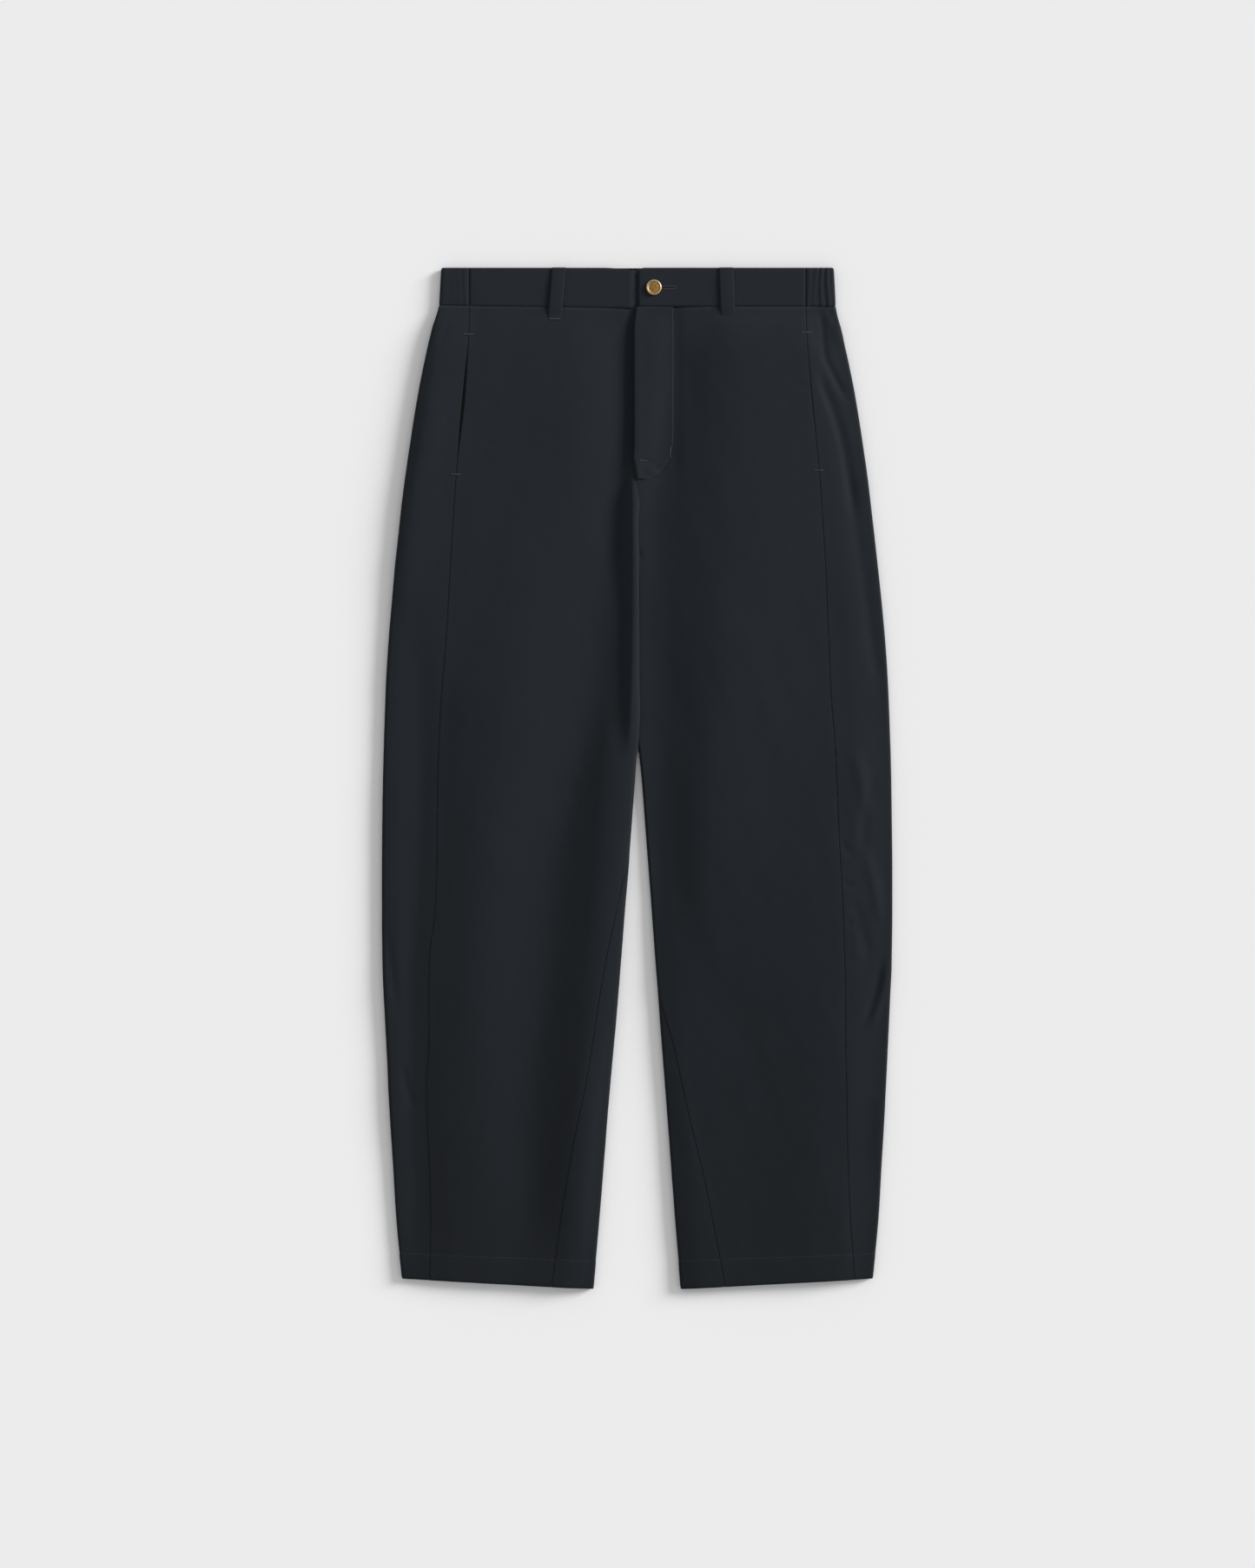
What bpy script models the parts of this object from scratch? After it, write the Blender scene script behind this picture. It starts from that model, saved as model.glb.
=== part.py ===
"""Barrel leg trousers, laid flat with their front up, as the pieces that are cut and sewn together.

Units are metres; tables are in millimetres and say so. +X is the wearer's left side, +Y runs up to the
waist and +Z comes up from the surface that the trousers lie on. "Down" is measured from the waist edge
towards the hems, and "across" from the centre line outwards on either side.

Each leg is a flat tube of cloth. Its cross-section is measured along one line, from the crease at the
inner edge over the front face, round the outer edge and back underneath. The pieces are stretches of
that line, drawn down the leg.
"""

import math
from collections import namedtuple

import bmesh
import bpy
import numpy as np

MM = 0.001

# Driving sizes of the garment
LENGTH = 1023.4 * MM  # waist edge to the lowest corner of the hems
WAISTBAND_HEIGHT = 39.0 * MM
CROTCH_DOWN = 288.6 * MM
FLY_STOP_DOWN = 193.0 * MM
HEM_DOWN = 1013.0 * MM  # outer corner of the hem
HEM_DROP = 10.4 * MM  # the hem's inner corner hangs this much lower
HEM_OUTER = 236.0 * MM
HEM_WIDTH = 192.0 * MM
HEM_EASING = 140.0 * MM  # the cloth above the hem shares its slant over this height
WAIST_SLANT = 2.5 * MM  # the waist seam's fall on the wearer's right, from its outer end to the centre
WAIST_RAISE = 0.8 * MM  # how much higher than the other side its outer end starts
WAIST_EASING = 150.0 * MM
SLANT_START, SLANT_RUN = 1.0 * MM, 8.0 * MM  # near the centre the waist seam runs level again
SPLIT_DOWN = 474.0 * MM  # the legs touch down to here
SEAM_GAP = 0.3 * MM
CLOTH = 1.2 * MM  # leg panels, with their seam turnings
BAND_CLOTH = 1.9 * MM  # waistbands: two layers and their interlining
LEG_ROLL = 3.0 * MM  # radius of the rolled edges of a leg laid flat
BAND_ROLL = 3.4 * MM  # the same at the thicker waistband
WAISTBAND_SEAM_OUT = 168.6 * MM  # where the front waistbands meet the gathered back one

# One row for each cross-section of a leg, in millimetres: its outer and inner edges, the outseam's place
# on the front face, and how far round from the inner edge the inseam lies
Section = namedtuple("Section", "down outer inner outseam_l outseam_r inseam_l inseam_r")
SECTIONS = [
    Section(0, 196.6, 0.15, 168.6, 168.6, 0, 0),
    Section(38, 198.8, 0.15, 168.6, 168.6, 0, 0),
    Section(66, 205.0, 0.15, 169.0, 169.0, 0, 0),
    Section(97, 212.0, 0.15, 171.3, 171.3, 0, 0),
    Section(132, 218.9, 0.15, 174.4, 174.4, 0, 0),
    Section(167, 224.5, 0.15, 177.9, 177.9, 0, 0),
    Section(206, 230.1, 0.15, 181.6, 181.6, 0, 0),
    Section(254, 235.9, 0.15, 185.0, 185.0, 0, 0),
    Section(303, 241.4, 0.15, 188.0, 188.0, 0, 0),
    Section(341, 245.4, 0.15, 189.4, 190.0, 0, 0),
    Section(384, 249.2, 0.15, 191.2, 193.0, 0, 0),
    Section(428, 251.8, 0.15, 193.3, 196.5, 0, 0),
    Section(471, 253.4, 0.15, 196.6, 199.0, 0, 0),
    Section(489, 254.0, 2.3, 197.8, 199.6, 0, 0),
    Section(515, 254.5, 4.9, 198.9, 200.4, 0, 0),
    Section(558, 255.1, 8.2, 200.8, 201.0, 0, 0.5),
    Section(602, 255.6, 11.5, 203.0, 201.4, 0, 3.2),
    Section(645, 255.6, 14.8, 205.3, 203.0, 0, 8.4),
    Section(689, 255.0, 18.1, 206.7, 208.5, 0.6, 14.6),
    Section(732, 253.4, 21.5, 207.8, 209.5, 3.2, 18.8),
    Section(776, 251.4, 24.8, 207.9, 209.2, 12.4, 22.2),
    Section(819, 249.3, 28.1, 208.8, 211.6, 18.6, 26.0),
    Section(863, 246.9, 31.4, 209.3, 210.6, 25.2, 32.0),
    Section(906, 244.5, 34.8, 210.6, 208.6, 32.4, 36.6),
    Section(950, 242.0, 38.3, 212.6, 207.6, 38.4, 40.4),
    Section(1013, 236.0, 44.0, 217.0, 208.5, 46.0, 44.0),
]

# The front's centre seam and fly edge wander off the centre line, in millimetres
Centre = namedtuple("Centre", "down offset")
CENTRE_LINE = [
    Centre(39, -0.6), Centre(62, -3.0), Centre(180, -3.0), Centre(193, -4.0),
    Centre(218, -1.3), Centre(235, -0.2), Centre(253, -1.9), Centre(288, 0.0),
]

# One row for each large fold of the front face, in millimetres. side is +1 on the wearer's left leg; the
# fold runs from its top to its end, bows outwards by bow halfway, and has a soft cross-section of that
# width; a negative height is a trough
Fold = namedtuple("Fold", "side across down across_end down_end bow width height")
FOLDS = [
    Fold(-1, 9, 41, 9, 345, 0, 5, -1.4),
    Fold(-1, 12, 270, 102, 900, 22, 16, -2.4),
    Fold(-1, 78, 70, 92, 400, 6, 20, 0.4),
    Fold(-1, 138, 440, 146, 700, 0, 22, 0.4),
    Fold(-1, 20, 380, 34, 560, 0, 9, 0.4),
    Fold(-1, 222, 360, 212, 730, 6, 10, -1.5),
    Fold(-1, 208, 700, 196, 985, -4, 12, -1.6),
    Fold(-1, 156, 730, 158, 990, 0, 18, 0.4),
    Fold(1, 46, 66, 22, 690, -2, 10, -1.8),
    Fold(1, 84, 50, 66, 640, 4, 20, 0.4),
    Fold(1, 170, 44, 190, 420, 2, 18, -1.0),
    Fold(1, 188, 105, 246, 420, 6, 7, -1.5),
    Fold(1, 182, 42, 214, 140, -4, 7, -1.2),
    Fold(1, 214, 480, 206, 980, -6, 9, -1.5),
    Fold(1, 232, 480, 228, 700, 0, 8, 0.4),
    Fold(1, 66, 680, 110, 990, 4, 16, -1.4),
    Fold(1, 7, 300, 8, 480, 0, 5, 0.4),
]

# How closely the points of a cross-section lie on its bends, underneath and by the fly
ON_BENDS, UNDERNEATH, BY_FLY = 7.0, 0.22, 2.2
FRONT_POINTS, BACK_POINTS = 17, 20
FINE_REACH = 54.0 * MM  # from the centre line over the fronts' closer points

FLY_WIDTH = 36.1 * MM
FLY_LIFT = CLOTH + 1.5 * SEAM_GAP  # from the left front's outer face to the placket's
FLY_SINK = 1.0 * MM  # the fronts dip this much under the fly placket
FLY_CURVE_DOWN = 167.0 * MM
FLY_END_DOWN = 212.0 * MM
FLY_TIP_WIDTH = 5.0 * MM
DIP_REACH = {1: 48.0 * MM, -1: 16.0 * MM}  # how far from the centre line the dip goes on each front
DIP_EDGE = 12.0 * MM
DIP_END, DIP_FADE = 228.0 * MM, 40.0 * MM
LAP_TURN_IN = 2.0 * MM  # the placket's lapped edge moves in this much below the fly stop
LAP_TURN_START, LAP_TURN_RUN = FLY_STOP_DOWN - 6.0 * MM, 14.0 * MM
POCKET_TOP = 65.0 * MM
POCKET_END = 206.0 * MM
POCKET_GAPE = {1: 0.3 * MM, -1: 2.7 * MM}  # how far the mouths stand open, past the seam gap
FACING_CLOTH = 1.0 * MM
FACING_REACH = 9.0 * MM  # either side of the outseam
FACING_OVERRUN = 5.0 * MM  # past each end of the mouth
BAND_END = 1.0 * MM  # where the front waistband's upper end starts, across
BAND_CORNER = 6.0 * MM
UNDERLAP_END = 36.0 * MM
UNDERLAP_DIP = 2.6 * MM  # how far the underlap's top edge lies below the waist edge
UNDERLAP_DIP_RUN = 33.0 * MM
SINK_START, SINK_RUN = -22.0 * MM, 21.0 * MM  # where the lower end sinks under the upper one
BAND_FLAT_END = -34.0 * MM
GATHER_PITCH = 6.5 * MM
GATHER_HEIGHT = 0.6 * MM
GATHER_SHARE = {1: 0.5, -1: 0.35}
GATHER_WANDER, WANDER_RUN = 0.6, 8.0 * MM  # the pleats lean a little to and fro
LOOP_CLOTH = 1.4 * MM
BUTTON_WIDTH = 15.2 * MM
BUTTON_SHANK = 2.0 * MM  # radius
BUTTON_ACROSS = 16.5 * MM
BUTTON_DOWN = 20.0 * MM
BUTTONHOLE_END = 36.8 * MM
SLIT = 0.4 * MM  # half the buttonhole's slit
HOLE_FLOOR, HOLE_TOP = 3.5 * MM, 8.5 * MM  # the cut goes through the upper band only

# The belt loops, in millimetres
Loop = namedtuple("Loop", "name across across_end width end")
LOOPS = [
    Loop("belt_loop_left", 88.8, 90.9, 14.5, 53.0),
    Loop("belt_loop_right", -78.7, -83.2, 13.7, 54.0),
]

# A belt loop's underside, in millimetres up, at shares of the way down it
Rise = namedtuple("Rise", "share height")
LOOP_RISES = [
    Rise(0.0, 7.1), Rise(0.1, 7.3), Rise(0.25, 8.1), Rise(0.5, 8.4), Rise(0.7, 8.2),
    Rise(0.8, 7.5), Rise(0.9, 6.6), Rise(1.0, 6.3),
]

# The button's cap from its underside round the rim to the middle of its dish, in millimetres
Ring = namedtuple("Ring", "inset height")
BUTTON_PROFILE = [
    Ring(1.2, 0.0), Ring(0.3, 0.5), Ring(0.0, 1.3), Ring(0.3, 2.1), Ring(0.9, 2.4),
    Ring(1.6, 2.1), Ring(2.2, 1.8), Ring(5.0, 1.9),
]

TWILL = (0.018, 0.021, 0.026, 1.0)
TWILL_DARK = (0.012, 0.014, 0.018, 1.0)
BRASS = (0.42, 0.28, 0.13, 1.0)


def clear_scene():
    """Removes what the file starts with."""
    for old in list(bpy.data.objects):
        bpy.data.objects.remove(old, do_unlink=True)


def ease(t):
    """Smooth step from 0 to 1."""
    t = min(max(t, 0.0), 1.0)
    return t * t * (3.0 - 2.0 * t)


def smooth(table, column, down):
    """A column of a table at a height, in metres, on a curve through its rows that never overshoots."""
    x = [row.down * MM for row in table]
    y = [getattr(row, column) * MM for row in table]
    down = min(max(down, x[0]), x[-1])
    i = min(int(np.searchsorted(x, down, side="right")) - 1, len(x) - 2)
    slopes = [(y[k + 1] - y[k]) / (x[k + 1] - x[k]) for k in range(len(x) - 1)]

    def tangent(k):
        if k in (0, len(x) - 1):
            return slopes[min(k, len(slopes) - 1)]
        before, after = slopes[k - 1], slopes[k]
        return 0.0 if before * after <= 0 else 2.0 * before * after / (before + after)

    step = x[i + 1] - x[i]
    t = (down - x[i]) / step
    return ((1 + 2 * t) * (1 - t) ** 2 * y[i] + t * (1 - t) ** 2 * step * tangent(i)
            + t * t * (3 - 2 * t) * y[i + 1] + t * t * (t - 1) * step * tangent(i + 1))


class Tube:
    """The outline of one leg's cross-section at a height, measured along from its inner edge."""

    def __init__(self, side, down, roll=LEG_ROLL):
        self.side = side
        self.down = down
        self.roll = roll
        self.folded = roll == LEG_ROLL
        # The inner edge closes between the end of the fly and the crotch
        self.turn = math.pi / 2 * ease((down - FLY_STOP_DOWN) / (CROTCH_DOWN - FLY_STOP_DOWN))
        self.inner = smooth(SECTIONS, "inner", down)
        offset = side * smooth(CENTRE_LINE, "offset", down)
        self.front_bend = self.inner + offset + roll * math.sin(self.turn)
        self.back_bend = self.inner + roll * math.sin(self.turn)
        self.outer_bend = smooth(SECTIONS, "outer", down) - roll
        runs = [self.turn * roll, self.outer_bend - self.front_bend, math.pi * roll,
                self.outer_bend - self.back_bend, self.turn * roll]
        self.marks = [sum(runs[:k]) for k in range(len(runs) + 1)]
        self.total = self.marks[-1]
        letter = "l" if side > 0 else "r"
        outseam = smooth(SECTIONS, "outseam_" + letter, down)
        self.outseam = self.marks[1] + outseam - self.front_bend
        self.inseam = smooth(SECTIONS, "inseam_" + letter, down)

    def at(self, along):
        """Across, height and outward direction at a place along the section."""
        if along > self.total:
            along -= self.total
        inner_top, outer_top, outer_low, inner_low = self.marks[1:5]
        if along < inner_top:
            centre, angle = self.front_bend, math.pi / 2 + self.turn - along / self.roll
        elif along <= outer_top:
            return self.front_bend + along - inner_top, 2 * self.roll, 0.0, 1.0
        elif along < outer_low:
            centre, angle = self.outer_bend, math.pi / 2 - (along - outer_top) / self.roll
        elif along <= inner_low:
            return self.outer_bend - (along - outer_low), 0.0, 0.0, -1.0
        else:
            centre, angle = self.back_bend, -math.pi / 2 - (along - inner_low) / self.roll
        lean, up = math.cos(angle), math.sin(angle)
        return centre + self.roll * lean, self.roll * (1 + up), lean, up

    def place(self, along, out=0.0, ripple=0.0):
        """The point at a place along the section, moved out from the cloth's outer face by out."""
        across, height, lean, up = self.at(along)
        facing = ease(up / 0.8)
        relief = fold_height(self.side, across, self.down) if self.folded else 0.0
        out += facing * (relief + ripple)
        across += lean * out
        down = self.down + slant(self.side, across, self.down)
        return (self.side * across, LENGTH / 2 - down, height + up * out)

    def spread(self, start, end, count, fine=0.0):
        """Places along the section, close together on its bends and, for fine, near the centre line."""
        steps = np.linspace(start, end, 600)
        weight = []
        for along in steps:
            across, height, lean, up = self.at(along)
            bend = abs(lean) > 0
            weight.append(ON_BENDS if bend else UNDERNEATH if up < 0 else BY_FLY if across < fine else 1.0)
        total = np.concatenate([[0.0], np.cumsum(weight[1:])])
        return list(np.interp(np.linspace(0, total[-1], count), total, steps))


def slant(side, across, down):
    """How much further down a point lies because the waist seam and the hem run at a slant."""
    above_hem = max(0.0, 1 - (HEM_DOWN - down) / HEM_EASING)
    hem = HEM_DROP * (HEM_OUTER - across) / HEM_WIDTH * above_hem ** 2
    if side > 0:
        return hem
    fall = WAIST_SLANT * (1 - across / WAISTBAND_SEAM_OUT) - WAIST_RAISE
    fall *= ease((across - SLANT_START) / SLANT_RUN)
    if down < WAISTBAND_HEIGHT:
        return fall * down / WAISTBAND_HEIGHT
    return fall * max(0.0, 1 - (down - WAISTBAND_HEIGHT) / WAIST_EASING) ** 2 + hem


def fold_height(side, across, down):
    """Relief of the front face: its large folds and the dip under the fly placket."""
    height = 0.0
    for fold in FOLDS:
        run = (down / MM - fold.down) / (fold.down_end - fold.down)
        if fold.side != side or not 0 < run < 1:
            continue
        middle = fold.across + (fold.across_end - fold.across) * run + fold.bow * 4 * run * (1 - run)
        fade = ease(run / 0.25) * ease((1 - run) / 0.25)
        height += fold.height * MM * fade * math.exp(-((across / MM - middle) / fold.width) ** 2 / 2)
    under_fly = ease((DIP_REACH[side] - across) / DIP_EDGE) * ease((DIP_END - down) / DIP_FADE)
    return height - FLY_SINK * under_fly


def wall(name, rows, colour, roughness=0.85, metallic=0.0):
    """A closed wall of cloth from rows of pairs: a point of its outer face and the one inside it."""
    bm = bmesh.new()
    layers = [[[bm.verts.new(pair[k]) for pair in row] for row in rows] for k in (0, 1)]
    high, wide = len(rows), len(rows[0])
    for grid in layers:
        for i in range(high - 1):
            for j in range(wide - 1):
                bm.faces.new((grid[i][j], grid[i][j + 1], grid[i + 1][j + 1], grid[i + 1][j]))
    rim = [(0, j) for j in range(wide)] + [(i, wide - 1) for i in range(1, high)]
    rim += [(high - 1, j) for j in range(wide - 2, -1, -1)] + [(i, 0) for i in range(high - 2, 0, -1)]
    for (a, b), (c, d) in zip(rim, rim[1:] + rim[:1]):
        bm.faces.new((layers[0][a][b], layers[0][c][d], layers[1][c][d], layers[1][a][b]))
    bmesh.ops.recalc_face_normals(bm, faces=bm.faces)
    return finish(name, bm, colour, roughness, metallic)


def finish(name, bm, colour, roughness, metallic):
    """Makes an object with its own material from a finished bmesh."""
    mesh = bpy.data.meshes.new(name)
    bm.to_mesh(mesh)
    bm.free()
    mesh.shade_smooth()
    mesh.set_sharp_from_angle(angle=math.radians(40))
    material = bpy.data.materials.new(name)
    material.use_nodes = True
    shader = material.node_tree.nodes["Principled BSDF"]
    shader.inputs["Base Color"].default_value = colour
    shader.inputs["Roughness"].default_value = roughness
    shader.inputs["Metallic"].default_value = metallic
    mesh.materials.append(material)
    obj = bpy.data.objects.new(name, mesh)
    bpy.context.scene.collection.objects.link(obj)
    return obj


def stations():
    """Heights of the rings of points down a leg, closer where the fly and the crotch are."""
    top = WAISTBAND_HEIGHT + SEAM_GAP / 2
    upper = np.linspace(top, FLY_STOP_DOWN, 8)
    crotch = np.linspace(FLY_STOP_DOWN, CROTCH_DOWN, 6)[1:]
    touching = np.linspace(CROTCH_DOWN, SPLIT_DOWN, 6)[1:]
    lower = np.linspace(SPLIT_DOWN, HEM_DOWN, 14)[1:]
    return [*upper, *crotch, *touching, *lower]


def gape(side, down):
    """Half of how far the pocket mouth stands open at a height."""
    run = (down - POCKET_TOP) / (POCKET_END - POCKET_TOP)
    return POCKET_GAPE[side] / 2 * math.sin(math.pi * run) ** 2 if 0 < run < 1 else 0.0


def leg_panels(name, side):
    """A front panel between its seams, and a back panel that reaches round both edges to meet it."""
    front, back = [], []
    for down in stations():
        tube = Tube(side, down)
        half = SEAM_GAP / 2
        outseam = tube.outseam - gape(side, down)
        inseam = tube.inseam + half if down >= CROTCH_DOWN else 0.0
        front.append([(tube.place(s), tube.place(s, -CLOTH))
                      for s in tube.spread(inseam, outseam - half, FRONT_POINTS, fine=FINE_REACH)])
        back_start = tube.outseam + gape(side, down) + half
        back_end = tube.total + (tube.inseam - half if down >= CROTCH_DOWN else 0.0)
        back.append([(tube.place(s), tube.place(s, -CLOTH))
                     for s in tube.spread(back_start, back_end, BACK_POINTS)])
    wall(name + "_front", front, TWILL)
    wall(name + "_back", back, TWILL)


def pocket_facing(name, side):
    """The strip that backs a pocket mouth, sewn behind the outseam."""
    rows = []
    depth = CLOTH + SEAM_GAP
    for down in np.linspace(POCKET_TOP - FACING_OVERRUN, POCKET_END + FACING_OVERRUN, 8):
        tube = Tube(side, down)
        rows.append([(tube.place(s, -depth), tube.place(s, -depth - FACING_CLOTH))
                     for s in np.linspace(tube.outseam - FACING_REACH, tube.outseam + FACING_REACH, 4)])
    wall(name, rows, TWILL_DARK)


def fly_placket():
    """The lapped fly: a panel on the left front whose lower end curves into the centre seam."""
    rows = []
    heights = [down for down in stations() if down < FLY_CURVE_DOWN]
    for down in [*heights, *np.linspace(FLY_CURVE_DOWN, FLY_END_DOWN, 7)]:
        tube = Tube(1, down)
        fall = max(0.0, (down - FLY_CURVE_DOWN) / (FLY_END_DOWN - FLY_CURVE_DOWN))
        width = FLY_TIP_WIDTH + (FLY_WIDTH - FLY_TIP_WIDTH) * math.sqrt(1 - fall ** 2)
        start = LAP_TURN_IN * ease((down - LAP_TURN_START) / LAP_TURN_RUN)
        end = tube.marks[1] + width - tube.front_bend
        rows.append([(tube.place(s, FLY_LIFT), tube.place(s, FLY_LIFT - CLOTH))
                     for s in np.linspace(start, end, 9)])
    wall("fly_placket", rows, TWILL)


def band_heights():
    """Heights of the rows of points down a waistband."""
    return np.linspace(0.0, WAISTBAND_HEIGHT - SEAM_GAP / 2, 5)


def waistband_left_front():
    """The upper end of the front waistband: it laps over the other, and its corner is rounded."""
    rows = []
    corner = BAND_CORNER
    for down in [0.0, 0.13 * corner, 0.5 * corner, corner, *band_heights()[1:]]:
        tube = Tube(1, down, BAND_ROLL)
        rounding = corner - math.sqrt(corner ** 2 - max(0.0, corner - down) ** 2)
        first = tube.marks[1] + BAND_END - tube.front_bend + rounding
        last = tube.marks[1] + WAISTBAND_SEAM_OUT - SEAM_GAP / 2 - tube.front_bend
        rows.append([(tube.place(s), tube.place(s, -BAND_CLOTH)) for s in np.linspace(first, last, 15)])
    band = wall("waistband_left_front", rows, TWILL)
    cut_buttonhole(band)


def waistband_right_front():
    """The lower end of the front waistband: it dips and runs on under the other as the underlap."""
    rows = []
    flat = np.linspace(-WAISTBAND_SEAM_OUT + SEAM_GAP / 2, BAND_FLAT_END, 9)
    sinking = np.linspace(SINK_START, 0.0, 7)
    places = [*flat, *sinking, UNDERLAP_END / 3, UNDERLAP_END * 2 / 3, UNDERLAP_END]
    for down in band_heights():
        row = []
        for x in places:
            sunk = ease((x - SINK_START) / SINK_RUN)
            top = 2 * BAND_ROLL - sunk * (BAND_CLOTH + SEAM_GAP)
            dip = UNDERLAP_DIP * ease(1 + x / UNDERLAP_DIP_RUN) * (1 - down / WAISTBAND_HEIGHT)
            y = LENGTH / 2 - down - dip - slant(-1, max(0.0, -x), down)
            row.append(((x, y, top), (x, y, top - BAND_CLOTH)))
        rows.append(row)
    wall("waistband_right_front", rows, TWILL)


def waistband_back():
    """The gathered back waistband: its pleats show where it comes round both sides onto the front."""
    rows = []
    for down in band_heights():
        row = []
        for side in (1, -1):
            tube = Tube(side, down, BAND_ROLL)
            seam = tube.marks[1] + WAISTBAND_SEAM_OUT + SEAM_GAP / 2 - tube.front_bend
            under = tube.marks[3]
            places = [*np.linspace(seam, under, 32), *np.linspace(under, tube.total, 4)[1:]]
            half = []
            for s in places:
                phase = 2 * math.pi * (s - seam) / GATHER_PITCH
                phase += GATHER_WANDER * math.sin((down + s) / WANDER_RUN)
                ripple = GATHER_HEIGHT * GATHER_SHARE[side] * (1 - math.cos(phase))
                half.append((tube.place(s, ripple=ripple), tube.place(s, -BAND_CLOTH, ripple=ripple)))
            row += half if side > 0 else half[::-1]
        rows.append(row)
    wall("waistband_back", rows, TWILL)


def belt_loop(loop):
    """A strap sewn down at the waist edge and below the waistband, and standing clear between."""
    rows = []
    for row in LOOP_RISES:
        middle = loop.across + (loop.across_end - loop.across) * row.share
        down = loop.end * row.share * MM
        under = row.height * MM
        row_points = [((middle + k * loop.width / 2) * MM, LENGTH / 2 - down) for k in (-1, 0, 1)]
        rows.append([((x, y, under + LOOP_CLOTH), (x, y, under)) for x, y in row_points])
    wall(loop.name, rows, TWILL)


def turned(name, profile, centre, colour, sides=32, roughness=0.4, metallic=0.0):
    """A solid turned from a profile of radii and heights, listed from its foot up."""
    bm = bmesh.new()
    rings = []
    for radius, height in profile:
        rings.append([bm.verts.new((centre[0] + radius * math.cos(a), centre[1] + radius * math.sin(a),
                                    height)) for a in np.linspace(0, 2 * math.pi, sides, endpoint=False)])
    for low, high in zip(rings, rings[1:]):
        for k in range(sides):
            bm.faces.new((low[k], low[(k + 1) % sides], high[(k + 1) % sides], high[k]))
    bm.faces.new(rings[0][::-1])
    bm.faces.new(rings[-1])
    return finish(name, bm, colour, roughness, metallic)


def button():
    """A shank button: a dished brass cap whose shank goes through the buttonhole to the underlap."""
    base = 2 * BAND_ROLL + SEAM_GAP
    foot = base - BAND_CLOTH - SEAM_GAP
    rim = BUTTON_WIDTH / 2
    profile = [(BUTTON_SHANK, foot), (BUTTON_SHANK, base)]
    profile += [(rim - row.inset * MM, base + row.height * MM) for row in BUTTON_PROFILE]
    turned("button", profile, button_place(), BRASS, roughness=0.38, metallic=1.0)


def button_place():
    """Where the button's axis stands."""
    return BUTTON_ACROSS, LENGTH / 2 - BUTTON_DOWN


def cut_buttonhole(band):
    """Cuts a keyhole buttonhole: a slit that ends in an eye round the button's shank."""
    x, y = button_place()
    eye = BUTTON_SHANK + SEAM_GAP
    turn = math.asin(SLIT / eye)
    angles = np.linspace(turn, 2 * math.pi - turn, 17)
    outline = [(x + eye * math.cos(a), y + eye * math.sin(a)) for a in angles]
    outline += [(BUTTONHOLE_END, y - SLIT), (BUTTONHOLE_END, y + SLIT)]
    bm = bmesh.new()
    face = bm.faces.new([bm.verts.new((px, py, HOLE_FLOOR)) for px, py in outline])
    top = bmesh.ops.extrude_face_region(bm, geom=[face])["geom"]
    raised = [v for v in top if isinstance(v, bmesh.types.BMVert)]
    bmesh.ops.translate(bm, vec=(0, 0, HOLE_TOP - HOLE_FLOOR), verts=raised)
    bmesh.ops.recalc_face_normals(bm, faces=bm.faces)
    cutter = finish("buttonhole_cutter", bm, TWILL_DARK, 0.9, 0.0)
    cutter.hide_render = True
    cutter.display_type = "WIRE"
    boolean = band.modifiers.new("buttonhole", "BOOLEAN")
    boolean.operation = "DIFFERENCE"
    boolean.object = cutter


def build():
    """Builds every piece."""
    clear_scene()
    for name, side in (("left", 1), ("right", -1)):
        leg_panels(name, side)
        pocket_facing("pocket_facing_" + name, side)
    fly_placket()
    waistband_left_front()
    waistband_right_front()
    waistband_back()
    for loop in LOOPS:
        belt_loop(loop)
    button()


build()
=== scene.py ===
import math
from types import SimpleNamespace

import bpy
import numpy as np
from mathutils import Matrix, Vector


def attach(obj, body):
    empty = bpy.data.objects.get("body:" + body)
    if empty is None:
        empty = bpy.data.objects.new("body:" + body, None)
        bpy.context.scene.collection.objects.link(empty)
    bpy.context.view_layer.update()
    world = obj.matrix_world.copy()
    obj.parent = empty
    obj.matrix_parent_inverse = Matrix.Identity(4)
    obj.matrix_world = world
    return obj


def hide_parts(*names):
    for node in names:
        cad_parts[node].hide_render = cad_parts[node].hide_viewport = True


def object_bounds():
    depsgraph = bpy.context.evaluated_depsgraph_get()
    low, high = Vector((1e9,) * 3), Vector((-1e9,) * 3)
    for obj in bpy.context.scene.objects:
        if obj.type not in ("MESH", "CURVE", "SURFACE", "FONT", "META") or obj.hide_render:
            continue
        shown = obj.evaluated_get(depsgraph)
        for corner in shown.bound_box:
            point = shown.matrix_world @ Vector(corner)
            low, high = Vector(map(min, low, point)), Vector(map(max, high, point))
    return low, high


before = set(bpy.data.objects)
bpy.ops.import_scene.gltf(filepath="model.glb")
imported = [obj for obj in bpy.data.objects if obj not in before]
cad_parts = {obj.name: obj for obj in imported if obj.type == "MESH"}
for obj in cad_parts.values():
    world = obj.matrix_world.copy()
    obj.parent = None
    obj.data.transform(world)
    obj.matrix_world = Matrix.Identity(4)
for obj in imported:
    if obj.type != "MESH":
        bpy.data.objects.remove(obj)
cad_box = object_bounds()

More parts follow.
